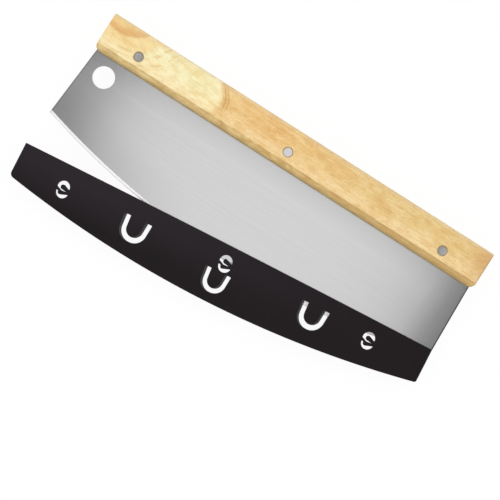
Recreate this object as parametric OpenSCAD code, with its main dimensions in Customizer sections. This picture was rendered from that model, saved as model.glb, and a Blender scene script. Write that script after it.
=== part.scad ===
// Rocking pizza knife with a clip-on edge cover.
// A wide steel blade stands in a sawn groove of a wooden bar and is held there by three
// two-part rivets. The cover is two thin sheets, cut alike, with a curved strip between them
// along the bottom, and it is shown half off.
// The knife lies on the back of its bar: X runs along the bar to the right, Y runs from the
// cutting edge towards the bar, and Z rises from the back face to the front face.
// The origin is the middle of the bar's back face.

/* [Handle] */
// Length of the wooden bar
handle_l = 355; // [300:1:420]
// Height of the bar, from its top edge to the edge that the blade leaves by
handle_h = 32.5; // [29:0.5:40]
// Thickness of the bar, from front to back
handle_t = 18; // [16:0.5:26]
// Width of the sloping facets beside the blade, seen from the front
facet_w = 5.5; // [3:0.1:7]
// Depth of the sloping facets, from front to back
facet_d = 5.2; // [2.5:0.1:6]
// Radius of the bar's two lower corners, seen from the front
corner_r = 5; // [2.5:0.5:8]
// Radius of the bar's long edges and of its ends
arris_r = 1.8; // [0.5:0.1:2.4]
// Depth of the sawn groove, from the lower edge
groove_d = 22; // [18:0.5:25]

/* [Blade] */
// Thickness of the steel
blade_t = 1.5; // [1:0.1:2.5]
// Lowest point of the cutting edge, below the bar
blade_drop = 86.3; // [70:0.1:110]
// Radius of the cutting edge
edge_r = 667; // [560:1:900]
// Width of the ground bevel on each face
bevel_w = 2.2; // [1:0.1:4]
// Thickness left at the very edge
edge_land = 0.2; // [0.1:0.05:0.4]
// Distance from the bar's left end to the blade's left side, where it leaves the bar
side_left_in = 1.6; // [0.5:0.1:10]
// Distance from the bar's right end to the blade's right side, where it leaves the bar
side_right_in = 2.3; // [0.5:0.1:10]
// Outward lean of the left side, in degrees
side_left_lean = 4.5; // [0:0.1:8]
// Outward lean of the right side, in degrees
side_right_lean = 2.3; // [0:0.1:8]
// Diameter of the hanging hole
hang_d = 18; // [8:0.5:24]
// Distance from the bar's left end to the middle of the hanging hole
hang_in = 18.2; // [14:0.1:40]
// Distance from the bar's lower edge to the middle of the hanging hole
hang_drop = 15.2; // [13:0.1:40]

/* [Rivets] */
// Diameter of both heads
head_d = 8; // [6:0.1:10]
// Thickness of both heads
head_t = 1.6; // [1:0.1:2.5]
// Width of the chamfer round each head
head_chamfer = 0.35; // [0.1:0.05:0.6]
// Depth that a head lies below the wood
head_sunk = 0.1; // [0:0.05:0.5]
// Outer diameter of the sleeve
sleeve_d = 5; // [4:0.1:5.6]
// Diameter of the solid stud that is pressed into the sleeve
stud_d = 3.6; // [2.5:0.1:3.8]
// Gap between the open end of the sleeve and the head of the stud
sleeve_gap = 1.2; // [0.5:0.1:3]
// Gap between the end of the stud and the head of the sleeve
stud_gap = 2.5; // [0.5:0.1:5]
// Distance from the bar's left end to the left rivet
rivet_left_in = 34; // [20:0.5:60]
// Distance from the bar's right end to the right rivet
rivet_right_in = 36.5; // [20:0.5:60]
// Shift of the middle rivet from the middle of the bar
rivet_mid_shift = -3.7; // [-20:0.1:20]
// Distance from the bar's lower edge to the rivets
rivet_rise = 12.9; // [11:0.1:16]

/* [Cover] */
// Length of the cover along its straight mouth
cover_l = 362.1; // [330:0.1:420]
// Depth of the cover at its deepest point
cover_h = 47.5; // [40:0.1:60]
// Radius of the cover's curved bottom edge
cover_r = 893; // [700:1:1200]
// Shift of the deepest point from the middle of the cover
cover_low_shift = 0.1; // [-10:0.1:10]
// Rise of the mouth in the middle, above a straight line
mouth_bow = 1; // [0.2:0.1:3]
// Thickness of each sheet
sheet_t = 1.2; // [0.8:0.1:2]
// Width of the strip that joins the sheets along the bottom
strip_w = 3; // [2:0.1:5]
// Radius of the cover's left bottom corner
cover_left_r = 4; // [1:0.5:8]
// Radius of the cover's right bottom corner
cover_right_r = 2; // [1:0.5:8]
// Radius of the two corners at the mouth
cover_top_r = 0.6; // [0.2:0.1:2]

/* [Spring tongues] */
// Outer radius of the left and right slots
slot_r = 10.4; // [9:0.1:12]
// Outer radius of the middle slot
slot_mid_r = 9.4; // [8.5:0.1:10.5]
// Radius of the tips of the left and right tongues
tongue_r = 7; // [5.5:0.1:7.5]
// Radius of the tip of the middle tongue
tongue_mid_r = 6.5; // [5:0.1:7]
// Distance from the ends of the left and right slots to the middle of their round
slot_leg = 9.3; // [6:0.1:10.5]
// Distance from the ends of the middle slot to the middle of its round
slot_mid_leg = 8.7; // [6:0.1:9.5]
// Outward lean of a slot's legs, in degrees
leg_lean = 4.5; // [0:0.1:8]
// Lift of the tongue's tip, which widens the slot under it
tongue_lift = 0.8; // [0:0.1:1.5]
// Radius of the corners at the ends of a slot
slot_tip_r = 0.6; // [0.2:0.1:1.5]
// Distance from the cover's left end to the left slot
slot_left_in = 108.2; // [90:0.1:120]
// Distance from the cover's right end to the right slot
slot_right_in = 96.6; // [85:0.1:120]
// Shift of the middle slot from the middle of the cover
slot_mid_shift = 2.5; // [-10:0.1:10]
// Distance from the mouth to the ends of the left slot
slot_left_drop = 13.6; // [10:0.1:15]
// Distance from the mouth to the ends of the right slot
slot_right_drop = 11.1; // [8:0.1:13]
// Distance from the mouth to the ends of the middle slot
slot_mid_drop = 21.6; // [21:0.1:22.5]
// Width of the sloping walls, on the left of each leg, seen from outside
slot_slope = 2; // [0.5:0.1:2.5]

/* [Leaf windows] */
// Radius of a window's two lobes
lobe_r = 5.2; // [4.5:0.1:6]
// Distance between the middles of the two lobes
lobe_step = 3.8; // [3.4:0.1:4.6]
// Sideways shift of the lower lobe
lobe_skew = 0.7; // [-1:0.1:1]
// Radius of the upper leaf's tip
leaf_r = 1.95; // [1.4:0.05:2.2]
// Distance of that tip to the left of the upper lobe's middle
leaf_in = 0.3; // [0:0.1:0.8]
// Radius of the lower leaf's tip
lower_leaf_r = 1.75; // [1.2:0.05:2]
// Distance of that tip to the left of the lower lobe's middle
lower_leaf_in = 1.5; // [1:0.1:2]
// Distance of that tip below the lower lobe's middle
lower_leaf_drop = 1; // [0.6:0.1:1.2]
// Radius of the upper leaf's root
leaf_root_r = 1.1; // [0.8:0.05:1.3]
// Radius of the lower leaf's root
lower_root_r = 0.8; // [0.6:0.05:1]
// Distance of the upper leaf's root below the upper lobe's middle
leaf_root_drop = 1.9; // [1.6:0.05:2.2]
// Distance between the two roots
root_step = 1.4; // [1.2:0.05:1.6]
// Width of the strap that crosses the window, where it meets the lower leaf
strap_w = 1.8; // [1.2:0.1:2]
// Width of the strap at the window's rim
strap_root_w = 2.3; // [1.6:0.1:2.6]
// Distance of the strap's left end below the upper lobe's middle
strap_drop = 2.3; // [2:0.1:2.6]
// Distance from the cover's left end to the left window
window_left_in = 42.4; // [20:0.1:60]
// Distance from the cover's right end to the right window
window_right_in = 48.8; // [20:0.1:60]
// Shift of the middle window from the middle of the cover
window_mid_shift = 3.3; // [-3:0.1:8]
// Distance from the mouth to the left window's upper lobe
window_left_drop = 18; // [10:0.1:20]
// Distance from the mouth to the right window's upper lobe
window_right_drop = 14.8; // [10:0.1:20]
// Distance from the mouth to the middle window's upper lobe
window_mid_drop = 12; // [9:0.1:12.5]

/* [Fits and swing] */
// Gap between the blade and each sheet of the cover
blade_gap = 0.3; // [0.1:0.05:0.6]
// Gap between the tang and each wall of the groove
groove_gap = 0.05; // [0.02:0.01:0.2]
// Gap between the top of the tang and the bottom of the groove
tang_gap = 0.3; // [0.1:0.05:1]
// Gap round the sleeves and heads in the wood
rivet_gap = 0.05; // [0.02:0.01:0.2]
// Gap round the sleeves in the blade's holes
tang_hole_gap = 0.15; // [0.05:0.05:0.4]
// Gap between the stud and the bore of the sleeve
stud_fit = 0.01; // [0.005:0.005:0.05]
// Gap left under the cutting edge when the cover is pushed home
edge_gap = 0.5; // [0.3:0.1:2]
// Distance from the blade's right corner to the point about which the cover swings
pivot_out = 157; // [100:0.5:250]
// Height of that point above the lowest point of the cutting edge
pivot_rise = 13.1; // [5:0.1:30]
// Angle to which the cover is swung off, in degrees: 0 is pushed home
swing = 5.5; // [0:0.1:15.6]

/* [Hidden] */
$fn = 96;
// Length by which a cutter passes the face that it cuts
past = 1;
// Depth below a sheet at which its sloping cuts would meet its upright ones
slope_under = 0.05;
// Length by which the sloping cuts stay short of a slot's ends
slope_short = 0.05;
// Steps along one rounded corner
corner_steps = 8;
// Steps along a round end or tip
round_steps = 32;
// Steps along the cover's long curves
curve_steps = 72;
// Facets of the ground disc, enough to keep its rim true at its large radius
disc_facets = 720;

handle_low = -handle_h / 2;
mid_z = handle_t / 2;
edge_low = handle_low - blade_drop;
edge_centre_y = edge_low + edge_r;
tang_top = handle_low + groove_d - tang_gap;
side_left = -handle_l / 2 + side_left_in;
side_right = handle_l / 2 - side_right_in;
hang_x = -handle_l / 2 + hang_in;
hang_y = handle_low - hang_drop;

rivet_y = handle_low + rivet_rise;
rivet_left = -handle_l / 2 + rivet_left_in;
rivet_middle = rivet_mid_shift;
rivet_right = handle_l / 2 - rivet_right_in;
rivets = [rivet_left, rivet_middle, rivet_right];
head_under_front = handle_t - head_sunk - head_t;
head_under_back = head_sunk + head_t;

// The blade's sides meet the cutting edge at about this distance below the bar
corner_drop = blade_drop - edge_r + sqrt(pow(edge_r, 2) - pow(handle_l / 2, 2));
corner_left = side_left - corner_drop * tan(side_left_lean);
corner_right = side_right + corner_drop * tan(side_right_lean);
gap_half = blade_t / 2 + blade_gap;
mouth_y = edge_low - edge_gap - strip_w + cover_h;
cover_left = (corner_left + corner_right - cover_l) / 2;
cover_low_x = cover_l / 2 + cover_low_shift;
pivot_x = corner_right + pivot_out;
pivot_y = edge_low + pivot_rise;

function unit(v) = v / norm(v);
function heading(v) = atan2(v[1], v[0]);
function turn(v) = v > 180 ? v - 360 : v < -180 ? v + 360 : v;
// Points along an arc of radius r, from one angle to another
function arc(centre, r, from, to, steps) =
    [for (i = [0 : steps]) let (a = from + (to - from) * i / steps) centre + r * [cos(a), sin(a)]];
// Points of the arc of radius r that rounds the corner b between a and c
function corner(a, b, c, r) =
    let (
        u = unit(a - b),
        v = unit(c - b),
        half = acos(u * v) / 2,
        centre = b + unit(u + v) * r / sin(half),
        start = heading(b + u * r / tan(half) - centre),
        sweep = turn(heading(b + v * r / tan(half) - centre) - start)
    )
    arc(centre, r, start, start + sweep, corner_steps);
// An outline with each corner rounded to its own radius, or left sharp where that is 0
function rounded(points, radii) =
    let (n = len(points))
    [for (i = [0 : n - 1])
        each (radii[i] > 0
            ? corner(points[(i + n - 1) % n], points[i], points[(i + 1) % n], radii[i])
            : [points[i]])];

// A tapered bar with round ends, of radius ra at a and rb at b
module taper(a, ra, b, rb) {
    along = heading(b - a);
    lean = acos((ra - rb) / norm(b - a));
    polygon(concat(
        arc(a, ra, along + lean, along + 360 - lean, round_steps),
        arc(b, rb, along - lean, along + lean, round_steps)
    ));
}

// Outline of the bar from its end, with Y to the right and Z up
module handle_section() {
    polygon(rounded(
        [
            [handle_h / 2, 0], [handle_h / 2, handle_t],
            [handle_low + facet_w, handle_t], [handle_low, handle_t - facet_d],
            [handle_low, facet_d], [handle_low + facet_w, 0]
        ],
        [for (i = [0 : 5]) arris_r]
    ));
}

// Outline of the bar from the front
module handle_plan() {
    polygon(rounded(
        [
            [-handle_l / 2, handle_h / 2], [handle_l / 2, handle_h / 2],
            [handle_l / 2, handle_low], [-handle_l / 2, handle_low]
        ],
        [arris_r, arris_r, corner_r, corner_r]
    ));
}

// Outline of the bar from below, with X to the right and Z up
module handle_elevation() {
    polygon(rounded(
        [
            [-handle_l / 2, 0], [handle_l / 2, 0],
            [handle_l / 2, handle_t], [-handle_l / 2, handle_t]
        ],
        [arris_r, arris_r, arris_r, arris_r]
    ));
}

module handle_body() {
    intersection() {
        translate([-handle_l / 2 - past, 0, 0])
            rotate([90, 0, 90]) linear_extrude(handle_l + 2 * past) handle_section();
        translate([0, 0, -past]) linear_extrude(handle_t + 2 * past) handle_plan();
        translate([0, handle_h / 2 + past, 0])
            rotate([90, 0, 0]) linear_extrude(handle_h + 2 * past) handle_elevation();
    }
}

module handle() {
    color("burlywood") difference() {
        handle_body();
        groove();
        for (x = rivets) translate([x, rivet_y, 0]) rivet_seat();
    }
}

// The saw cut that takes the tang, open along the lower edge and at both ends
module groove() {
    groove_t = blade_t + 2 * groove_gap;
    translate([-handle_l / 2 - past, handle_low - past, mid_z - groove_t / 2])
        cube([handle_l + 2 * past, groove_d + past, groove_t]);
}

// The hole for one rivet, with a counterbore for the head on each face
module rivet_seat() {
    translate([0, 0, -past]) cylinder(d = sleeve_d + 2 * rivet_gap, h = handle_t + 2 * past);
    translate([0, 0, -past]) cylinder(d = head_d + 2 * rivet_gap, h = head_under_back + past);
    translate([0, 0, head_under_front])
        cylinder(d = head_d + 2 * rivet_gap, h = head_t + head_sunk + past);
}

// A disc whose rim is ground to the cutting edge from both faces
module ground_disc() {
    translate([0, edge_centre_y, mid_z]) rotate_extrude($fn = disc_facets) polygon([
        [0, -blade_t / 2], [edge_r - bevel_w, -blade_t / 2],
        [edge_r, -edge_land / 2], [edge_r, edge_land / 2],
        [edge_r - bevel_w, blade_t / 2], [0, blade_t / 2]
    ]);
}

// Outline of the blade before its edge is cut: two leaning sides and the top of the tang
module blade_blank() {
    reach = blade_drop + past;
    polygon([
        [side_left + groove_d * tan(side_left_lean), tang_top],
        [side_right - groove_d * tan(side_right_lean), tang_top],
        [side_right + reach * tan(side_right_lean), handle_low - reach],
        [side_left - reach * tan(side_left_lean), handle_low - reach]
    ]);
}

module blade() {
    color("silver") difference() {
        intersection() {
            ground_disc();
            translate([0, 0, mid_z - blade_t]) linear_extrude(2 * blade_t) blade_blank();
        }
        translate([hang_x, hang_y, mid_z - blade_t]) cylinder(d = hang_d, h = 2 * blade_t);
        for (x = rivets) translate([x, rivet_y, mid_z - blade_t])
            cylinder(d = sleeve_d + 2 * tang_hole_gap, h = 2 * blade_t);
    }
}

// Outline of half a rivet through its axis: the head, with its outer face at height 0, and
// a shank that ends at the given depth below it
module rivet_outline(shank_r, depth) {
    polygon([
        [0, 0], [head_d / 2 - head_chamfer, 0], [head_d / 2, -head_chamfer],
        [head_d / 2, -head_t], [shank_r, -head_t], [shank_r, -depth], [0, -depth]
    ]);
}

// The hollow half, from the front face
module rivet_sleeve(x) {
    depth = handle_t - head_sunk - head_under_back - sleeve_gap;
    color("lightgray") translate([x, rivet_y, handle_t - head_sunk]) difference() {
        rotate_extrude() rivet_outline(sleeve_d / 2, depth);
        translate([0, 0, -depth - past])
            cylinder(d = stud_d + 2 * stud_fit, h = depth + past - head_t);
    }
}

// The solid half, from the back face
module rivet_stud(x) {
    depth = head_under_front - stud_gap - head_sunk;
    color("gainsboro") translate([x, rivet_y, head_sunk]) mirror([0, 0, 1])
        rotate_extrude() rivet_outline(stud_d / 2, depth);
}

// Depth of the cover's bottom edge at x, raised by the given width
function cover_bottom(x, up) =
    -cover_h + cover_r - sqrt(pow(cover_r - up, 2) - pow(x - cover_low_x, 2));
// Height of the mouth at x
function mouth(x) = mouth_bow * (1 - pow(2 * x / cover_l - 1, 2));

// Outline of the cover. Its x runs along the mouth from the left end, and its y is upwards.
module cover_outline() {
    left = [0, cover_bottom(0, 0)];
    right = [cover_l, cover_bottom(cover_l, 0)];
    left_top = [0, mouth(0)];
    right_top = [cover_l, mouth(cover_l)];
    // The points beside a corner are left out, to make room for its arc
    xs = [for (i = [2 : curve_steps - 2]) cover_l * i / curve_steps];
    last = len(xs) - 1;
    bottom = [for (x = xs) [x, cover_bottom(x, 0)]];
    top = [for (i = [last : -1 : 0]) [xs[i], mouth(xs[i])]];
    polygon(concat(
        corner(left_top, left, bottom[0], cover_left_r),
        bottom,
        corner(bottom[last], right, right_top, cover_right_r),
        corner(right, right_top, top[0], cover_top_r),
        top,
        corner(top[last], left_top, left, cover_top_r)
    ));
}

// The band along the bottom edge
module strip_outline() {
    edge = [for (i = [0 : curve_steps])
        let (x = cover_l * i / curve_steps) [x, cover_bottom(x, strip_w)]];
    intersection() {
        cover_outline();
        polygon(concat(edge, [[cover_l + past, -cover_h - past], [-past, -cover_h - past]]));
    }
}

// Half width at height y of two legs that lean outwards from a round of radius r at [0, mid]
function leg_x(r, mid, y) = (r + (y - mid) * sin(leg_lean)) / cos(leg_lean);

// Outline of a U-shaped slot, whose legs end at the height rise. It frees a tongue that
// springs on the blade.
function slot_points(outer_r, inner_r, leg, rise) =
    let (
        outer = [0, -leg],
        inner = [0, -leg + tongue_lift],
        x_out = leg_x(outer_r, outer[1], rise),
        x_in = leg_x(inner_r, inner[1], rise),
        low = [leg_x(outer_r, outer[1], -leg), -leg]
    )
    concat(
        [[-x_in, rise]],
        corner([-x_in, rise], [-x_out, rise], [-low[0], low[1]], slot_tip_r),
        arc(outer, outer_r, 180 + leg_lean, 360 - leg_lean, round_steps),
        corner(low, [x_out, rise], [x_in, rise], slot_tip_r),
        [[x_in, rise]],
        arc(inner, inner_r, -leg_lean, -180 + leg_lean, round_steps)
    );

// The cut for one tongue through a sheet whose inner face is at height 0. An upright cut
// is joined by one that leans to the left, so that the left wall of each leg slopes.
module tongue_cut(outer_r, inner_r, leg) {
    lean = atan(slot_slope / sheet_t);
    reach = sheet_t / cos(lean) + outer_r + past;
    translate([0, 0, -past]) linear_extrude(sheet_t + 2 * past)
        polygon(slot_points(outer_r, inner_r, leg, 0));
    translate([0, 0, -slope_under]) rotate([0, -lean, 0]) linear_extrude(2 * reach, center = true)
        polygon([for (p = slot_points(outer_r, inner_r, leg, -slope_short))
            [p[0] * cos(lean), p[1]]]);
}

// The two leaves, rooted on a window's right, and the strap that joins the lower leaf to
// the window's left
module leaves() {
    root = [lobe_r + lobe_skew, -leaf_root_drop];
    lower_tip = [lobe_skew - lower_leaf_in, -lobe_step - lower_leaf_drop];
    taper([-leaf_in, 0], leaf_r, root, leaf_root_r);
    taper(lower_tip, lower_leaf_r, root - [0, root_step], lower_root_r);
    taper(
        [-lobe_r, -strap_drop], strap_root_w / 2,
        lower_tip + [0, lower_leaf_r - strap_w / 2], strap_w / 2
    );
}

// A window of two round lobes, with the middle of the upper one at the origin
module leaf_window() {
    translate([0, 0, -past]) linear_extrude(sheet_t + 2 * past) difference() {
        union() {
            circle(r = lobe_r);
            translate([lobe_skew, -lobe_step]) circle(r = lobe_r);
        }
        leaves();
    }
}

// One sheet in the cover's own frame, whose height 0 is the middle of the blade. The back
// sheet is cut as the front one is, seen through it.
module cover_sheet() {
    slot_mid = cover_l / 2 + slot_mid_shift;
    window_mid = cover_l / 2 + window_mid_shift;
    translate([0, 0, gap_half]) difference() {
        linear_extrude(sheet_t) cover_outline();
        translate([slot_left_in, -slot_left_drop, 0]) tongue_cut(slot_r, tongue_r, slot_leg);
        translate([slot_mid, -slot_mid_drop, 0])
            tongue_cut(slot_mid_r, tongue_mid_r, slot_mid_leg);
        translate([cover_l - slot_right_in, -slot_right_drop, 0])
            tongue_cut(slot_r, tongue_r, slot_leg);
        translate([window_left_in, -window_left_drop, 0]) leaf_window();
        translate([window_mid, -window_mid_drop, 0]) leaf_window();
        translate([cover_l - window_right_in, -window_right_drop, 0]) leaf_window();
    }
}

// Carries the cover from its own frame to the blade, swung off by the swing angle
module on_blade() {
    translate([pivot_x, pivot_y, mid_z]) rotate(swing)
        translate([cover_left - pivot_x, mouth_y - pivot_y, 0]) children();
}

module cover_front_sheet() {
    color([0.15, 0.14, 0.15]) on_blade() cover_sheet();
}

module cover_back_sheet() {
    color([0.2, 0.19, 0.2]) on_blade() mirror([0, 0, 1]) cover_sheet();
}

module cover_strip() {
    color([0.18, 0.17, 0.18]) on_blade()
        translate([0, 0, -gap_half]) linear_extrude(2 * gap_half) strip_outline();
}

blade();
handle();
rivet_sleeve(rivet_left);  // rivet_sleeve_left
rivet_sleeve(rivet_middle);  // rivet_sleeve_middle
rivet_sleeve(rivet_right);  // rivet_sleeve_right
rivet_stud(rivet_left);  // rivet_stud_left
rivet_stud(rivet_middle);  // rivet_stud_middle
rivet_stud(rivet_right);  // rivet_stud_right
cover_front_sheet();
cover_back_sheet();
cover_strip();
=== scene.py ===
# %% [markdown]
# # A rocking pizza knife with its edge cover half off
#
# The CAD model already holds every piece at its real size and place. This lesson gives the
# pieces their looks: rounded edges, turned rivet heads, and a material for each thing that
# the knife is made of. Everything is in metres and in the model's own frame. X runs along
# the wooden bar to the right, Y runs from the cutting edge up to the bar, and Z rises from
# the table, on which the bar's back lies, to the front face.
#
# Some tones are here only because the photograph shows them, and what causes them on the
# real knife isn't known. The text says so at each.
# Several of them are painted shade, sheen and highlight, and the text names them so at each.

# %% Load the model
import math

import bmesh
import bpy
import numpy as np
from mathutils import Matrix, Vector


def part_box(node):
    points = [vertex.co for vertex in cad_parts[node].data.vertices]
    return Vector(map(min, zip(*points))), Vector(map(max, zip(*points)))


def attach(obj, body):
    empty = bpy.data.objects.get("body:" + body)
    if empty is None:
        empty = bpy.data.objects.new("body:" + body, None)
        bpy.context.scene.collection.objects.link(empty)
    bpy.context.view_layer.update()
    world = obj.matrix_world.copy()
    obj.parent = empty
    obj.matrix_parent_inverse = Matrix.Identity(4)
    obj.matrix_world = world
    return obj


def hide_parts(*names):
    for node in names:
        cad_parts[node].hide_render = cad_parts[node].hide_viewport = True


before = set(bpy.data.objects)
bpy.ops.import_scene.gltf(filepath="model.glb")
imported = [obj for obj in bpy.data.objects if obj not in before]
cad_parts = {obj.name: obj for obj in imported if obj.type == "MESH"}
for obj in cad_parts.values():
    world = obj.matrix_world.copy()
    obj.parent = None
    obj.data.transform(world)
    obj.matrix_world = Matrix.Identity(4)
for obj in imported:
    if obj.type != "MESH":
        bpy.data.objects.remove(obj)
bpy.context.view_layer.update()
MM = 0.001
bar_low, bar_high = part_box("handle")
blade_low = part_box("blade")[0]
print("bar, mm:", [round(size / MM, 1) for size in bar_high - bar_low])

# %% [markdown]
# ## The camera
#
# The photograph looks straight down on the knife from about a metre above the table, and
# the bar runs down to the right. Perspective is weak but not absent: the bar's face, which
# is nearer, is drawn a little larger than the blade. So the camera gets a real height, and
# its lens follows from the scale at which the bar's front face is drawn.

# %% Camera
IMAGE_PX = 500
PX_PER_MM = 1.267
CAMERA_HEIGHT = 1.10
BAR_SLOPE = math.radians(32.55)
AIM = (12.6 * MM, -84.5 * MM)

camera_data = bpy.data.cameras.new("camera")
camera = bpy.data.objects.new("camera", camera_data)
bpy.context.scene.collection.objects.link(camera)
camera.location = (*AIM, CAMERA_HEIGHT)
camera.rotation_euler = (0, 0, BAR_SLOPE)
field = IMAGE_PX / PX_PER_MM * MM
camera_data.lens = camera_data.sensor_width * (CAMERA_HEIGHT - bar_high.z) / field
bpy.context.scene.camera = camera
bpy.context.scene.view_settings.view_transform = "Standard"
print("lens, mm:", round(camera_data.lens, 1), "field, mm:", round(field / MM, 1))

# %% [markdown]
# ## Helpers for materials
#
# Colours are easiest to compare with a photograph as sRGB hex codes, but Blender's nodes
# want linear light, so one function turns them. A second function adds a node and fills its
# settings and sockets, linking whatever comes from another node. With it a material reads
# as a list of what is done to the surface.

# %% Colour and node helpers
def linear(code):
    """The linear colour of an sRGB hex code such as #C8C8C8.

    Each channel is divided by 12.92 where it is very dark, and otherwise shifted, scaled and
    raised to the power 2.4, which is the sRGB curve read backwards.
    """
    srgb = np.array([int(code[i:i + 2], 16) for i in (1, 3, 5)]) / 255
    light = np.where(srgb <= 0.04045, srgb / 12.92, ((srgb + 0.055) / 1.055) ** 2.4)
    return (*light.tolist(), 1.0)


def fill(tree, node, inputs):
    """Fills a node's sockets, by name or number.

    A socket takes a value, an output socket, or another node's first output.
    """
    for name, value in inputs.items():
        if isinstance(name, int):
            socket = node.inputs[name]
        else:
            socket = next(s for s in node.inputs if s.name == name and s.enabled)
        if isinstance(value, bpy.types.Node):
            value = next(s for s in value.outputs if s.enabled)
        if isinstance(value, bpy.types.NodeSocket):
            tree.links.new(value, socket)
        else:
            socket.default_value = value


def add(tree, kind, inputs=None, stops=(), **settings):
    """Adds one node to a tree, with its inputs filled, and returns it.

    Settings are the node's own fields. Stops are the places and colours of a colour ramp.
    """
    node = tree.nodes.new(kind)
    for name, value in settings.items():
        setattr(node, name, value)
    fill(tree, node, inputs or {})
    for i, (place, colour) in enumerate(stops):
        element = node.color_ramp.elements[i] if i < 2 else node.color_ramp.elements.new(place)
        element.position = place
        element.color = colour
    return node


def new_material(name):
    """An empty node material and its tree, with one shader wired to the output."""
    material = bpy.data.materials.new(name)
    material.use_nodes = True
    material.node_tree.nodes.clear()
    shader = add(material.node_tree, "ShaderNodeBsdfPrincipled")
    add(material.node_tree, "ShaderNodeOutputMaterial", {"Surface": shader})
    return material, material.node_tree, shader


def per(*sizes_mm):
    """Pattern scales, in repeats per metre, for features of the given sizes in millimetres."""
    return tuple(1 / (size * MM) for size in sizes_mm)


print("a mid grey:", [round(channel, 3) for channel in linear("#808080")])

# %% [markdown]
# ## Zones
#
# Much of what is done to a surface is alike: its colour moves towards another inside a zone,
# such as a strip along an edge. A zone is worked out from distances, so it has soft borders
# wherever they are wanted, and it stays put when the piece is seen from another side.

# %% Zones
def zone(tree, most, *limits):
    """How strongly a zone is felt, from 0 outside it to most inside.

    Each limit is a value, where the zone begins and where it is full, and may end with
    "SMOOTHSTEP" for a softer border. The share of the way that each value has come is
    multiplied in. Most is a number or a node, and with no limits it is the zone itself.
    """
    strength = most
    for value, begins, full, *border in limits:
        share = add(tree, "ShaderNodeMapRange", {
            "Value": value, "From Min": begins, "From Max": full},
            interpolation_type=border[0] if border else "LINEAR")
        strength = add(tree, "ShaderNodeMath", {0: share, 1: strength}, operation="MULTIPLY")
    return strength


def tint(tree, before, after, most, *limits):
    """A colour moved towards a hex code or another node's colour inside a zone."""
    if isinstance(after, str):
        after = linear(after)
    return add(tree, "ShaderNodeMix", {
        "Factor": zone(tree, most, *limits), "A": before, "B": after}, data_type="RGBA")


def reach(tree, vector, centre, squash):
    """Distance from a centre, with each direction squashed by its own share."""
    spoke = add(tree, "ShaderNodeVectorMath", {0: vector, 1: centre}, operation="SUBTRACT")
    flat = add(tree, "ShaderNodeVectorMath", {0: spoke, 1: squash}, operation="MULTIPLY")
    return add(tree, "ShaderNodeVectorMath", {0: flat}, operation="LENGTH").outputs["Value"]


FLAT = (1, 1, 0)
print("a distance as seen from above leaves out Z:", FLAT)

# %% [markdown]
# ## Satin steel
#
# The blade is stamped from a cold rolled sheet of stainless steel, and a belt leaves a very
# fine satin on it, with its lines along the blade. From above they hardly show one by one:
# they widen the reflection of the lamp overhead, so that the blade is bright in its middle
# and falls away smoothly to both ends. The cutting edge is ground across its own direction,
# so its lines stand square to the edge, and the last few tenths of a millimetre are honed
# once more. The distance from the centre of the edge's circle tells these three bands apart.
#
# The sheet is also darker in three zones and along its two short sides. The short sides
# and the zone below the bar carry painted shade, and so does the right end, where the lamp's
# reflection falls away. The causes aren't known. The zone above the edge towards the left is
# only darker.

# %% Blade steel
EDGE_R = 667 * MM
BEVEL_W = 2.2 * MM
HONED_W = 0.4 * MM
BAND_BORDER = 0.1 * MM
edge_centre = (0, blade_low.y + EDGE_R, 0)
# Width of the painted shade along each short side
SIDE_SHADE_W = 1.2 * MM
# Each short side's X at the bar, its lean in degrees, the way in from it, and how dark
# its painted shade is
SIDES = ((-175.9 * MM, 4.5, 1, 0.4), (175.2 * MM, -2.3, -1, 0.9))
# Where the darker zones begin and are full: the painted shade below the bar, a darker zone
# above the edge but only towards the left, and the painted shade at the right end
SHADE_BELOW_BAR = (17 * MM, 1 * MM)
ABOVE_EDGE = (34 * MM, 6 * MM)
TO_LEFT = (-40 * MM, -110 * MM)
SHADE_AT_RIGHT = (148 * MM, 166 * MM)


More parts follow.
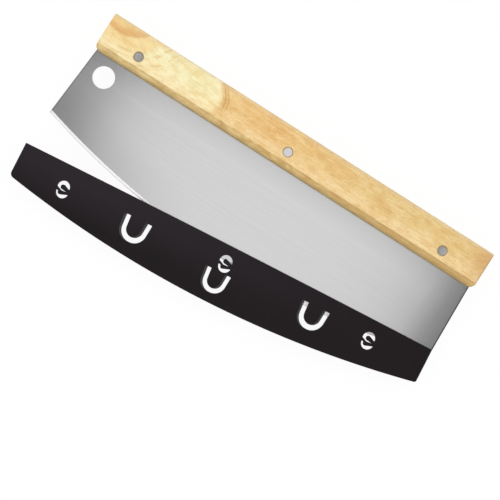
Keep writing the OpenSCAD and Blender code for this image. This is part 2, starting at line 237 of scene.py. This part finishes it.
def blade_steel():
    """Stainless sheet with a satin along X and a ground and honed edge."""
    material, tree, shader = new_material("satin stainless steel sheet")
    place = add(tree, "ShaderNodeTexCoord").outputs["Object"]
    place_parts = add(tree, "ShaderNodeSeparateXYZ", {"Vector": place})
    sideways, height = place_parts.outputs["X"], place_parts.outputs["Y"]
    # Satin lines 60 mm long. Real ones are 0.05 mm wide, and 0.5 mm is the finest that shows.
    satin_place = add(tree, "ShaderNodeMapping", {"Vector": place, "Scale": per(60, 0.5, 0.5)})
    satin = add(tree, "ShaderNodeTexNoise", {"Vector": satin_place, "Scale": 1, "Detail": 3})
    # Ground lines 0.9 mm apart: their place is the angle along the edge's circle, in metres
    spoke = add(tree, "ShaderNodeVectorMath", {0: place, 1: edge_centre}, operation="SUBTRACT")
    parts = add(tree, "ShaderNodeSeparateXYZ", {"Vector": spoke})
    down = add(tree, "ShaderNodeMath", {0: parts.outputs["Y"], 1: -1}, operation="MULTIPLY")
    angle = add(tree, "ShaderNodeMath", {0: parts.outputs["X"], 1: down}, operation="ARCTAN2")
    along = add(tree, "ShaderNodeMath", {0: angle, 1: EDGE_R}, operation="MULTIPLY")
    ground = add(tree, "ShaderNodeTexNoise", {"W": along, "Scale": per(0.9)[0], "Detail": 3},
                 noise_dimensions="1D")
    # The distance from the circle's centre tells sheet, bevel and honed edge apart
    radius = reach(tree, place, edge_centre, FLAT)
    in_bevel = (radius, EDGE_R - BEVEL_W - BAND_BORDER, EDGE_R - BEVEL_W)
    in_honed = (radius, EDGE_R - HONED_W - BAND_BORDER, EDGE_R - HONED_W)
    steel = add(tree, "ShaderNodeValToRGB", {"Fac": satin}, stops=[
        (0.3, linear("#CFCFCF")), (0.7, linear("#D4D4D4"))])
    # Painted shade below the bar and at the right end, and a darker zone above the edge
    steel = tint(tree, steel, "#C7C7C7", 1.0,
                 (height, bar_low.y - SHADE_BELOW_BAR[0], bar_low.y - SHADE_BELOW_BAR[1]))
    steel = tint(tree, steel, "#C4C4C4", 1.0, (sideways, *TO_LEFT),
                 (radius, EDGE_R - ABOVE_EDGE[0], EDGE_R - ABOVE_EDGE[1]))
    steel = tint(tree, steel, "#C2C2C2", 1.0, (sideways, *SHADE_AT_RIGHT))
    ground_colour = add(tree, "ShaderNodeValToRGB", {"Fac": ground}, stops=[
        (0.3, linear("#EDEDED")), (0.7, linear("#FAFAFA"))])
    steel = tint(tree, steel, ground_colour, 1.0, in_bevel)
    steel = tint(tree, steel, "#D8D8D8", 1.0, in_honed)
    # Painted shade along the two short cut sides
    for top_x, lean, inward, dark in SIDES:
        run = math.tan(math.radians(lean))
        side = add(tree, "ShaderNodeVectorMath", {0: place, 1: (1, -run, 0)},
                   operation="DOT_PRODUCT").outputs["Value"]
        side_at = top_x - run * bar_low.y
        steel = tint(tree, steel, "#383838", dark, (
            side, side_at + inward * SIDE_SHADE_W, side_at + inward * SIDE_SHADE_W / 2))
    bevel = zone(tree, 1.0, in_bevel)
    satin_rough = add(tree, "ShaderNodeMapRange", {
        "Value": satin, "From Min": 0.3, "From Max": 0.7, "To Min": 0.22, "To Max": 0.23})
    rough = add(tree, "ShaderNodeMix", {"Factor": bevel, "A": satin_rough, "B": 0.42},
                data_type="FLOAT")
    lines = add(tree, "ShaderNodeMix", {"Factor": bevel, "A": satin, "B": ground},
                data_type="FLOAT")
    bump = add(tree, "ShaderNodeBump", {"Height": lines, "Strength": 0.05, "Distance": 0.003 * MM})
    # The satin lines blur what the steel mirrors across them, along Y, more than along them
    across = add(tree, "ShaderNodeTangent", direction_type="UV_MAP", uv_map="across the satin")
    # The coarse ground lines also scatter much of the light, as a matt surface does
    mirrored = add(tree, "ShaderNodeMapRange", {"Value": bevel, "To Min": 1.0, "To Max": 0.2})
    fill(tree, shader, {"Base Color": steel, "Roughness": rough, "Normal": bump,
                        "Tangent": across, "Anisotropic": 0.7, "Metallic": mirrored})
    return material


steel_sheet = blade_steel()
print(steel_sheet.name, "has", len(steel_sheet.node_tree.nodes), "nodes")

# %% [markdown]
# ## Rubberwood
#
# The bar is rubberwood, a pale straw-coloured timber that darkens to orange-tan. Its grain
# is fine and runs along the bar, with pores that show as short dark dashes. Several things
# vary along this bar: the left third is pale with a curly figure, a piece of darker
# heartwood ends in a round arc at the upper left corner, a double growth line hooks down
# where the tan wood starts, and towards the right end the wood gets browner. Each of them
# is a zone worked out from distances in the bar's own frame, so that the ends and the back
# of the bar agree with its front. The bar is also darker along its top, along its facets and
# round its arrises in the photograph, and that may be wear, dirt or only the light there.
# Its facets, its foot and arrises beside the blade, its top arris and its right end carry
# painted shade.

# %% Rubberwood
HEART_CENTRE = (-167 * MM, 28 * MM, 0)
HEART_R = 23 * MM
HEART_SQUASH = (0.81, 1, 0)
HEART_BORDER = 1.2 * MM
HEART_DEPTH = 12 * MM
HALO_W = (12 * MM, 7 * MM)
RINGS_IN = (5 * MM, 8 * MM)
RINGS_OUT = (40 * MM, 28 * MM)
HOOK_Y = -1 * MM
HOOK_SLANT = 0.62
HOOK_ROUND = 2 * MM
TAN_START = -63.5 * MM
TAN_BORDER = (-1 * MM, -7 * MM)
LINE_REACH = 5 * MM
TO_RIGHT = (-40 * MM, 110 * MM)
RIGHT_END = 177.5 * MM
BROWN_W = 24 * MM
PALER_Y = (4 * MM, -9 * MM)
FADING_Y = (-9 * MM, 1 * MM)
FOOT_W = 3 * MM
TOP_W = 5 * MM
RIVET_RIM = 4.05 * MM
DARK_RING_W = (0.9 * MM, 0.2 * MM)
rivet_axes = [(low + high) / 2 for low, high in (
    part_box(f"rivet_sleeve_{place}") for place in ("left", "middle", "right"))]


def figure(tree, vector, sizes_mm, detail=2, roughness=0.5):
    """A random figure, with features of the given sizes in millimetres along X, Y and Z."""
    place = add(tree, "ShaderNodeMapping", {"Vector": vector, "Scale": per(*sizes_mm)})
    return add(tree, "ShaderNodeTexNoise", {
        "Vector": place, "Scale": 1, "Detail": detail, "Roughness": roughness})


def rubberwood():
    """Oiled rubberwood with its grain along X."""
    material, tree, shader = new_material("oiled rubberwood")
    texture_place = add(tree, "ShaderNodeTexCoord")
    place = texture_place.outputs["Object"]
    # Every line of the figure wanders by about 2 mm
    wander = figure(tree, place, (60, 14, 14), 3).outputs["Color"]
    offset = add(tree, "ShaderNodeVectorMath", {0: wander, 1: (0.5, 0.5, 0.5)},
                 operation="SUBTRACT")
    grown = add(tree, "ShaderNodeVectorMath", {0: offset, 1: (8 * MM, 5 * MM, 5 * MM), 2: place},
                operation="MULTIPLY_ADD")
    # The grain falls by one in thirty towards the right
    grain = add(tree, "ShaderNodeMapping", {"Vector": grown, "Rotation": (0, 0, 1 / 30)})
    parts = add(tree, "ShaderNodeSeparateXYZ", {"Vector": grown})
    along, grown_y = parts.outputs["X"], parts.outputs["Y"]
    # Fibres, slow bands of colour, mottles, and pores, whose real width of 0.2 mm doesn't show
    fibres = figure(tree, grain, (35, 0.9, 0.9), 4, 0.65)
    drift = figure(tree, grain, (45, 9, 9))
    mottle = figure(tree, grain, (9, 4, 4), 3, 0.6)
    pores = figure(tree, grain, (3.5, 0.55, 0.55), 1)
    # The growth line that ends the pale wood: it slants to the right on its way down, and
    # hooks back below the middle of the bar
    sideways = add(tree, "ShaderNodeVectorMath", {
        0: grown, 1: (0, 1, 0), 2: (0, -HOOK_Y, HOOK_ROUND)}, operation="MULTIPLY_ADD")
    sideways = add(tree, "ShaderNodeVectorMath", {0: sideways}, operation="LENGTH")
    bend = add(tree, "ShaderNodeMath", {
        0: sideways.outputs["Value"], 1: HOOK_SLANT, 2: along}, operation="MULTIPLY_ADD")
    pale = add(tree, "ShaderNodeValToRGB", {"Fac": drift}, stops=[
        (0.35, linear("#F2ECC2")), (0.65, linear("#EFE4B3"))])
    tan = add(tree, "ShaderNodeValToRGB", {"Fac": drift}, stops=[
        (0.35, linear("#E9CA90")), (0.5, linear("#E7C386")), (0.65, linear("#E4BC7E"))])
    to_right = (along, *TO_RIGHT, "SMOOTHSTEP")
    tan = tint(tree, tan, "#E1C88F", 0.75, to_right)
    tan = tint(tree, tan, "#D0A670", 0.8, (along, RIGHT_END - BROWN_W, RIGHT_END, "SMOOTHSTEP"))
    is_pale = zone(tree, 1.0, (
        bend, TAN_START + TAN_BORDER[0], TAN_START + TAN_BORDER[1], "SMOOTHSTEP"))
    wood = tint(tree, tan, pale, is_pale)
    # The face is a little paler towards the blade
    wood = tint(tree, wood, "#F4DEB0", 0.55, (grown_y, *PALER_Y, "SMOOTHSTEP"))
    # The growth line is double, and it fades out towards the blade
    line = add(tree, "ShaderNodeValToRGB", {
        "Fac": zone(tree, 1.0, (bend, TAN_START - LINE_REACH, TAN_START + LINE_REACH))}, stops=[
        (0.10, (0, 0, 0, 1)), (0.25, (0.2, 0.2, 0.2, 1)), (0.40, (0.2, 0.2, 0.2, 1)),
        (0.48, (1, 1, 1, 1)), (0.57, (0.1, 0.1, 0.1, 1)), (0.68, (0.1, 0.1, 0.1, 1)),
        (0.75, (0.9, 0.9, 0.9, 1)), (0.83, (0, 0, 0, 1))])
    line = add(tree, "ShaderNodeMath", {0: line, 1: 0.8}, operation="MULTIPLY")
    wood = tint(tree, wood, "#C0935C", line, (grown_y, *FADING_Y))
    # The heartwood at the upper left corner: darkest along its arc, paler inwards, with a
    # light orange halo outside
    heart_reach = reach(tree, grown, HEART_CENTRE, HEART_SQUASH)
    wood = tint(tree, wood, "#EED49A", 0.85,
                (heart_reach, HEART_R + HALO_W[0], HEART_R + HALO_W[1]))
    heart = add(tree, "ShaderNodeValToRGB", {
        "Fac": zone(tree, 1.0, (heart_reach, HEART_R - HEART_DEPTH, HEART_R))}, stops=[
        (0.0, linear("#EFD89A")), (0.4, linear("#E9C98A")), (0.85, linear("#DFB478")),
        (1.0, linear("#DCB27A"))])
    wood = tint(tree, wood, heart, 0.9, (
        heart_reach, HEART_R + HEART_BORDER, HEART_R - HEART_BORDER, "SMOOTHSTEP"))
    # Growth rings round the heartwood, broken up by the mottle, run on through the pale wood
    rings = add(tree, "ShaderNodeTexNoise", {
        "W": heart_reach, "Scale": per(2.6)[0], "Detail": 1}, noise_dimensions="1D")
    near = zone(tree, 0.55, (heart_reach, HEART_R + RINGS_IN[0], HEART_R + RINGS_IN[1]),
                (heart_reach, HEART_R + RINGS_OUT[0], HEART_R + RINGS_OUT[1]),
                (mottle, 0.42, 0.60))
    wood = tint(tree, wood, "#E2CB95", near, (rings, 0.42, 0.32))
    wood = tint(tree, wood, "#FBF6DC", near, (rings, 0.58, 0.68))
    # Mottles and fibres darken the wood by a few hundredths, and fibres the tan wood twice as
    # much as the pale
    mottle_shade = add(tree, "ShaderNodeValToRGB", {"Fac": mottle}, stops=[
        (0.38, linear("#FFFFFF")), (0.62, linear("#F6ECDA"))])
    fibre_shade = add(tree, "ShaderNodeValToRGB", {"Fac": fibres}, stops=[
        (0.32, linear("#F3E8D3")), (0.54, linear("#FFFFFF"))])
    fibre_share = add(tree, "ShaderNodeMapRange", {"Value": is_pale, "To Min": 1.0,
                                                   "To Max": 0.5})
    for share, shade in ((1.0, mottle_shade), (fibre_share, fibre_shade)):
        wood = add(tree, "ShaderNodeMix", {"Factor": share, "A": wood, "B": shade},
                   data_type="RGBA", blend_type="MULTIPLY")
    # The facets beside the blade lean away from the lamp and get painted shade, mottled like
    # the wood. Slope is how far the surface leans towards the blade.
    normal = add(tree, "ShaderNodeSeparateXYZ", {"Vector": texture_place.outputs["Normal"]})
    slope = add(tree, "ShaderNodeMath", {0: normal.outputs["Y"], 1: -1}, operation="MULTIPLY")
    height = add(tree, "ShaderNodeSeparateXYZ", {"Vector": place}).outputs["Y"]
    facet = add(tree, "ShaderNodeValToRGB", {"Fac": mottle}, stops=[
        (0.38, linear("#E4C47E")), (0.62, linear("#BE9650"))])
    facet = tint(tree, facet, "#BC9149", 0.6, to_right)
    # In turn: painted shade on the facets, the bar's foot and the arris beside the blade, then
    # a darker band along the bar's top, and painted shade on its top arris and its right end
    for colour, most, limit in (
            (facet, 0.72, (slope, 0.3, 0.5)),
            ("#978250", 0.7, (height, bar_low.y + FOOT_W, bar_low.y)),
            ("#7E6238", 0.3, (slope, 0.72, 0.95)),
            ("#D3C09A", 0.4, (height, bar_high.y - TOP_W, bar_high.y)),
            ("#B09C76", 0.5, (slope, -0.15, -0.7)),
            ("#9C7C4C", 0.6, (normal.outputs["X"], 0.2, 0.8))):
        wood = tint(tree, wood, colour, most, limit)
    # A thin darker ring round each rivet
    for axis in rivet_axes:
        from_axis = reach(tree, place, (axis.x, axis.y, 0), FLAT)
        wood = tint(tree, wood, "#A58458", 0.12, (
            from_axis, RIVET_RIM + DARK_RING_W[0], RIVET_RIM + DARK_RING_W[1]))
    # Pores: many in the tan wood, few and faint in the pale
    in_pore = (pores, 0.60, 0.74)
    pore_share = add(tree, "ShaderNodeMapRange", {"Value": is_pale, "To Min": 0.5,
                                                  "To Max": 0.12})
    wood = tint(tree, wood, "#A87F4B", pore_share, in_pore)
    rough = add(tree, "ShaderNodeMapRange", {
        "Value": fibres, "From Min": 0.3, "From Max": 0.7, "To Min": 0.5, "To Max": 0.62})
    relief = add(tree, "ShaderNodeMath", {0: fibres, 1: zone(tree, 1.0, in_pore)},
                 operation="SUBTRACT")
    bump = add(tree, "ShaderNodeBump", {"Height": relief, "Strength": 0.2,
                                        "Distance": 0.05 * MM})
    fill(tree, shader, {"Base Color": wood, "Roughness": rough, "Normal": bump, "IOR": 1.45})
    return material


bar_wood = rubberwood()
print(bar_wood.name, "has", len(bar_wood.node_tree.nodes), "nodes")

# %% [markdown]
# ## Black polypropylene
#
# The cover is cut from sheet polypropylene, coloured through with carbon black. Such a sheet
# is satin: it shows no clear reflection, only a faint sheen where the lamp is. A very fine
# grain, pressed in by the rollers, breaks the sheen up, and the black leans to purple in
# slow patches. Towards the mouth and the left end it gets a painted sheen, a shade greyer,
# and where it is cut aslant it gets a painted highlight. That may be wear or only the light,
# and here it is a zone of colour.

# %% Cover plastic
# The mouth's line, with the cover half off: Y at the bar's middle, and its rise along X
MOUTH_Y = -90.6 * MM
MOUTH_RISE = 0.0963
# Where the painted sheen begins and is full: below the mouth, and along X
BELOW_MOUTH = (36 * MM, 10 * MM)
SHEEN_X = (150 * MM, -110 * MM)


def cover_plastic():
    """Satin black polypropylene sheet."""
    material, tree, shader = new_material("black polypropylene sheet")
    texture_place = add(tree, "ShaderNodeTexCoord")
    place = texture_place.outputs["Object"]
    # Patches of tone about 25 mm across, and a roller grain of 0.7 mm
    patch = add(tree, "ShaderNodeTexNoise", {"Vector": place, "Scale": per(25)[0], "Detail": 2})
    grain = add(tree, "ShaderNodeTexNoise", {"Vector": place, "Scale": per(0.7)[0], "Detail": 2})
    colour = add(tree, "ShaderNodeValToRGB", {"Fac": patch}, stops=[
        (0.35, linear("#0E070A")), (0.65, linear("#12070C"))])
    over_mouth = add(tree, "ShaderNodeVectorMath", {0: place, 1: (-MOUTH_RISE, 1, 0)},
                     operation="DOT_PRODUCT").outputs["Value"]
    along = add(tree, "ShaderNodeSeparateXYZ", {"Vector": place}).outputs["X"]
    # Painted sheen, a shade greyer towards the mouth and the left end
    colour = tint(tree, colour, "#20191F", 1.0, (along, *SHEEN_X),
                  (over_mouth, MOUTH_Y - BELOW_MOUTH[0], MOUTH_Y - BELOW_MOUTH[1]))
    # A painted highlight, a lighter band, where the sheet is cut aslant
    normal = add(tree, "ShaderNodeSeparateXYZ", {"Vector": texture_place.outputs["Normal"]})
    upright = add(tree, "ShaderNodeMath", {0: normal.outputs["Z"]}, operation="ABSOLUTE")
    colour = tint(tree, colour, "#464446", 1.0, (upright, 0.95, 0.8))
    rough = add(tree, "ShaderNodeMapRange", {
        "Value": grain, "From Min": 0.3, "From Max": 0.7, "To Min": 0.5, "To Max": 0.62})
    bump = add(tree, "ShaderNodeBump", {"Height": grain, "Strength": 0.2, "Distance": 0.02 * MM})
    fill(tree, shader, {"Base Color": colour, "Roughness": rough, "Normal": bump,
                        "IOR": 1.49, "Specular IOR Level": 0.2})
    return material


plastic = cover_plastic()
print(plastic.name, "has", len(plastic.node_tree.nodes), "nodes")

# %% [markdown]
# ## Rivet steel
#
# The rivet heads are turned and then sanded flush with the wood, which leaves a dull surface
# with faint rings from the lathe. The rings must stay centred on each rivet, so the material
# reads the UV map that the rivets are given below: V counts the way along the turned outline.
# The two outer rivets are painted darker than the middle one, as painted shade where they
# mirror less of the lamp, and each rim gets a browner painted shade. Whether the steel or the
# light is the cause isn't known, and here it is the colour.

# %% Rivet steel
RING_MM = 0.25
RIM_MM = (2.9, 3.7)
FROM_MIDDLE = (20 * MM, 60 * MM)


def rivet_steel():
    """Turned steel with faint lathe rings."""
    material, tree, shader = new_material("turned stainless steel")
    texture_place = add(tree, "ShaderNodeTexCoord")
    outline = add(tree, "ShaderNodeSeparateXYZ", {"Vector": texture_place.outputs["UV"]})
    # V is in millimetres along the outline
    along = outline.outputs["Y"]
    rings = add(tree, "ShaderNodeTexNoise", {"W": along, "Scale": 1 / RING_MM, "Detail": 2},
                noise_dimensions="1D")
    colour = add(tree, "ShaderNodeValToRGB", {"Fac": rings}, stops=[
        (0.3, linear("#D2D1D0")), (0.7, linear("#DEDDDC"))])
    middle = rivet_axes[1]
    outwards = reach(tree, texture_place.outputs["Object"], (middle.x, middle.y, 0), FLAT)
    # Painted shade on the two outer rivets, which mirror less of the lamp
    colour = tint(tree, colour, "#9A9793", 0.42, (outwards, *FROM_MIDDLE))
    # Painted shade round each rim
    colour = tint(tree, colour, "#8C8270", 0.3, (along, *RIM_MM))
    rough = add(tree, "ShaderNodeMapRange", {
        "Value": rings, "From Min": 0.3, "From Max": 0.7, "To Min": 0.22, "To Max": 0.3})
    bump = add(tree, "ShaderNodeBump", {"Height": rings, "Strength": 0.2, "Distance": 0.02 * MM})
    fill(tree, shader, {"Base Color": colour, "Roughness": rough, "Normal": bump,
                        "Metallic": 1.0})
    return material


rivet_metal = rivet_steel()
print(rivet_metal.name, "has", len(rivet_metal.node_tree.nodes), "nodes")

# %% [markdown]
# ## Softened edges
#
# No real edge is perfectly sharp: wood is sanded, a stamped sheet is tumbled, and cut
# plastic is scraped. The CAD meshes are loose triangles, so each is copied, its corners are
# welded and its flat neighbours joined, and then a Bevel modifier rounds every edge sharper
# than 30 degrees by a fraction of a millimetre. The rounded strips catch the light as thin
# lines, which is what makes edges look real.

# %% Copies with softened edges
ROUNDING_STEPS = 3


def softened(name, body, material, width):
    """Replaces a CAD node with a welded copy of itself whose sharp edges are rounded."""
    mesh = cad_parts[name].data.copy()
    shape = bmesh.new()
    shape.from_mesh(mesh)
    bmesh.ops.remove_doubles(shape, verts=shape.verts, dist=0.001 * MM)
    bmesh.ops.dissolve_limit(shape, angle_limit=math.radians(0.2), verts=shape.verts,
                             edges=shape.edges)
    shape.to_mesh(mesh)
    shape.free()
    spots = np.empty(len(mesh.vertices) * 3)
    mesh.vertices.foreach_get("co", spots)
    corner = np.empty(len(mesh.loops), dtype=np.int32)
    mesh.loops.foreach_get("vertex_index", corner)
    across = spots.reshape(-1, 3)[corner][:, [1, 0]]
    mesh.uv_layers.new(name="across the satin").data.foreach_set("uv", across.ravel())
    mesh.materials.clear()
    mesh.materials.append(material)
    mesh.shade_smooth()
    piece = bpy.data.objects.new(f"{name}_finished", mesh)
    bpy.context.scene.collection.objects.link(piece)
    bevel = piece.modifiers.new("softened edges", "BEVEL")
    bevel.width = width
    bevel.segments = ROUNDING_STEPS
    bevel.limit_method = "ANGLE"
    bevel.angle_limit = math.radians(30)
    bevel.use_clamp_overlap = False
    bevel.harden_normals = True
    weigh = piece.modifiers.new("flat faces stay flat", "WEIGHTED_NORMAL")
    weigh.keep_sharp = True
    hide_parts(name)
    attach(piece, body)
    print(piece.name, "has", len(mesh.polygons), "faces before its edges are rounded")
    return piece


bar = softened("handle", "knife", bar_wood, 0.3 * MM)
blade = softened("blade", "knife", steel_sheet, 0.15 * MM)
covers = [softened(name, "cover", plastic, 0.2 * MM)
          for name in ("cover_front_sheet", "cover_back_sheet", "cover_strip")]

# %% [markdown]
# ## Rivets turned on a lathe
#
# A lathe cuts one outline all the way round, and so does this surface: a short list of
# corners is carried round the rivet's axis. Each sleeve comes from the front with a hollow
# shank, and each stud comes from the back and is pressed into it. Their heads are slightly
# dished, and their rims are broken by a small chamfer.

# %% Rivets
HEAD_R = 4.0 * MM
HEAD_T = 1.6 * MM
DISH = 0.04 * MM
CHAMFER = 0.35 * MM
SLEEVE_R = 2.5 * MM
BORE_R = 1.81 * MM
STUD_R = 1.8 * MM
TURN_STEPS = 96


def turned(name, corners, axis_xy, face_z, up, material):
    """Carries an outline round an upright axis.

    A point at angle t is the axis plus the outline's radius times the cosine and sine of t,
    at the head's face plus or minus the outline's height. U is the angle as a share of a
    turn, and V is the length of outline so far, in millimetres.
    """
    radius, height = np.array(corners).T
    angle = np.arange(TURN_STEPS) * 2 * np.pi / TURN_STEPS
    rim, turn = np.meshgrid(np.arange(len(radius)), np.arange(TURN_STEPS), indexing="ij")
    points = np.stack([
        axis_xy[0] + radius[rim] * np.cos(angle[turn]),
        axis_xy[1] + up * radius[rim] * np.sin(angle[turn]),
        face_z + up * height[rim],
    ], axis=-1).reshape(-1, 3)
    step = np.hypot(np.diff(radius), np.diff(height))
    length = np.concatenate([[0], np.cumsum(step)]) / MM
    i, j = np.meshgrid(np.arange(len(radius) - 1), np.arange(TURN_STEPS), indexing="ij")
    k = (j + 1) % TURN_STEPS
    quads = np.stack([i * TURN_STEPS + j, (i + 1) * TURN_STEPS + j,
                      (i + 1) * TURN_STEPS + k, i * TURN_STEPS + k], axis=-1).reshape(-1, 4)
    uv = np.stack([
        np.stack([j, j, j + 1, j + 1], axis=-1) / TURN_STEPS,
        np.stack([length[i], length[i + 1], length[i + 1], length[i]], axis=-1),
    ], axis=-1).reshape(-1, 2)
    mesh = bpy.data.meshes.new(name)
    mesh.from_pydata(points, [], quads.tolist())
    mesh.uv_layers.new(name="outline").data.foreach_set("uv", uv.ravel())
    shape = bmesh.new()
    shape.from_mesh(mesh)
    bmesh.ops.remove_doubles(shape, verts=shape.verts, dist=0.0001 * MM)
    shape.to_mesh(mesh)
    shape.free()
    mesh.materials.append(material)
    mesh.shade_smooth()
    mesh.set_sharp_from_angle(angle=math.radians(25))
    piece = bpy.data.objects.new(name, mesh)
    bpy.context.scene.collection.objects.link(piece)
    return piece


def head(shank_r):
    """The head's outline, from the middle of its dished face out and back to the shank."""
    dish_r = HEAD_R - CHAMFER
    outwards = np.linspace(0, 1, 9)
    dished = [(share * dish_r, -DISH * (1 - share ** 2)) for share in outwards]
    return dished + [(HEAD_R, -CHAMFER), (HEAD_R, -HEAD_T), (shank_r, -HEAD_T)]


for place in ("left", "middle", "right"):
    for half, up in (("sleeve", 1), ("stud", -1)):
        node = f"rivet_{half}_{place}"
        low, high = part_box(node)
        depth = high.z - low.z
        if half == "sleeve":
            corners = head(SLEEVE_R) + [(SLEEVE_R, -depth), (BORE_R, -depth),
                                        (BORE_R, -HEAD_T), (0, -HEAD_T)]
        else:
            corners = head(STUD_R) + [(STUD_R, -depth), (0, -depth)]
        axis_xy = ((low.x + high.x) / 2, (low.y + high.y) / 2)
        rivet = turned(f"{node}_turned", corners, axis_xy, high.z if up > 0 else low.z, up,
                       rivet_metal)
        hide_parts(node)
        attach(rivet, "knife")
    print(f"{place} rivet at X {axis_xy[0] / MM:.1f} mm, {len(rivet.data.polygons)} faces a half")

# %% [markdown]
# ## Floor and light
#
# The knife lies on a plain white table. The floor shows the camera, and every reflection, a
# plain white, mixed with just enough real shading to keep the knife's soft shadow. The light
# is that of a photographer's table: a long lamp overhead, across the blade, so that the
# steel is bright in its middle and dark at its ends, and a glow from all sides that lights
# the wood. The glow leaves out the part of the sky beside the lamp, because what the steel
# mirrors there is dark. How the photograph was really lit isn't known: the lamp's width, the
# dim lamp at its left and the strengths were set by trial, until the steel's tones agreed.

# %% Floor
FLOOR_SIDE = 30.0
FLOOR_GLOW = 0.94


def white_floor():
    """A white table top that looks plain white and still takes shadows."""
    material = bpy.data.materials.new("white table top")
    material.use_nodes = True
    tree = material.node_tree
    tree.nodes.clear()
    rays = add(tree, "ShaderNodeLightPath")
    seen = add(tree, "ShaderNodeMath", {0: rays.outputs["Is Camera Ray"],
                                        1: rays.outputs["Is Glossy Ray"]}, operation="MAXIMUM")
    seen = add(tree, "ShaderNodeMath", {0: seen, 1: rays.outputs["Is Transmission Ray"]},
               operation="MAXIMUM")
    share = add(tree, "ShaderNodeMath", {0: seen, 1: FLOOR_GLOW}, operation="MULTIPLY")
    paint = add(tree, "ShaderNodeBsdfDiffuse", {"Color": linear("#FAFAFA")})
    glow = add(tree, "ShaderNodeEmission", {"Color": linear("#FFFFFF"), "Strength": 1.0})
    mixed = add(tree, "ShaderNodeMixShader", {0: share, 1: paint, 2: glow})
    add(tree, "ShaderNodeOutputMaterial", {"Surface": mixed})
    return material


rim = FLOOR_SIDE / 2
floor_mesh = bpy.data.meshes.new("floor")
floor_mesh.from_pydata([(-rim, -rim, 0), (rim, -rim, 0), (rim, rim, 0), (-rim, rim, 0)],
                       [], [(0, 1, 2, 3)])
floor_mesh.materials.append(white_floor())
floor = bpy.data.objects.new("floor", floor_mesh)
bpy.context.scene.collection.objects.link(floor)

print("floor,", FLOOR_SIDE, "m square")

# %% Lamp and sky
LAMP_HEIGHT = 1.5
LAMP_LENGTH = 2.6
# Each lamp's name, middle, width and radiance
LAMPS = (("long lamp overhead", 0.0, 0.74, 0.97), ("dim lamp to its left", -0.49, 0.16, 0.37))
SKY_STRENGTH = 1.7
SKY_LEAN = 0.5
# The glow at angles from straight up, in degrees
SKY_GLOW = ((80, 0.6), (62, 1.0), (46, 1.0), (34, 0.02))

for name, middle, width, radiance in LAMPS:
    lamp_data = bpy.data.lights.new(name, "AREA")
    lamp_data.shape = "RECTANGLE"
    lamp_data.size, lamp_data.size_y = width, LAMP_LENGTH
    lamp_data.energy = radiance * math.pi * width * LAMP_LENGTH
    lamp = bpy.data.objects.new(name, lamp_data)
    lamp.location = (middle, AIM[1], LAMP_HEIGHT)
    lamp.visible_camera = False
    bpy.context.scene.collection.objects.link(lamp)
    print(name, "W:", round(lamp_data.energy, 2))

world = bpy.data.worlds.new("studio")
world.use_nodes = True
sky = world.node_tree
sky.nodes.clear()
ray = add(sky, "ShaderNodeTexCoord").outputs["Generated"]
ways = add(sky, "ShaderNodeSeparateXYZ", {"Vector": ray})
# Z of the ray is the cosine of its angle from straight up
glow = add(sky, "ShaderNodeValToRGB", {"Fac": ways.outputs["Z"]}, stops=[
    (math.cos(math.radians(angle)), (level, level, level, 1)) for angle, level in SKY_GLOW])
# The sky is stronger on the bar's side than on the cover's
lean = add(sky, "ShaderNodeMath", {0: ways.outputs["Y"], 1: SKY_LEAN, 2: SKY_STRENGTH},
           operation="MULTIPLY_ADD")
background = add(sky, "ShaderNodeBackground", {"Color": glow, "Strength": lean})
add(sky, "ShaderNodeOutputWorld", {"Surface": background})
bpy.context.scene.world = world
print("sky strength, before its glow is applied:", round(SKY_STRENGTH - SKY_LEAN, 1),
      "on the cover's side and", round(SKY_STRENGTH + SKY_LEAN, 1), "on the bar's")
